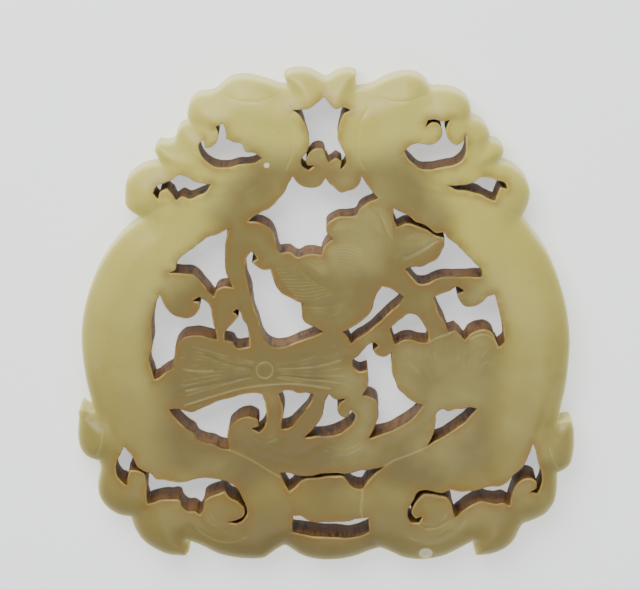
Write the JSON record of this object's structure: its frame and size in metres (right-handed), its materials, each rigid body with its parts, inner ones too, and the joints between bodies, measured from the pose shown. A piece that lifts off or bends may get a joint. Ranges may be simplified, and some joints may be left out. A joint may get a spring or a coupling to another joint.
{
  "type": "carved jade openwork plaque",
  "caption": "Pale celadon jade plaque carved in openwork: confronting dragons form a ring round a lotus with leaves, a seed pod and waves.",
  "frame": {"origin": "middle of the outline's box, on the surface that the flat back lies on", "axes": "+Z out of the carved face, +Y towards the dragons' heads, +X to the right hand seen from above"},
  "size_m": [0.0706, 0.071, 0.007],
  "materials": {
    "jade": "waxy polished nephrite, with brown staining on the sawn walls"
  },
  "bodies": {
    "root": {"jade_plaque": "jade"}
  },
  "joints": []
}
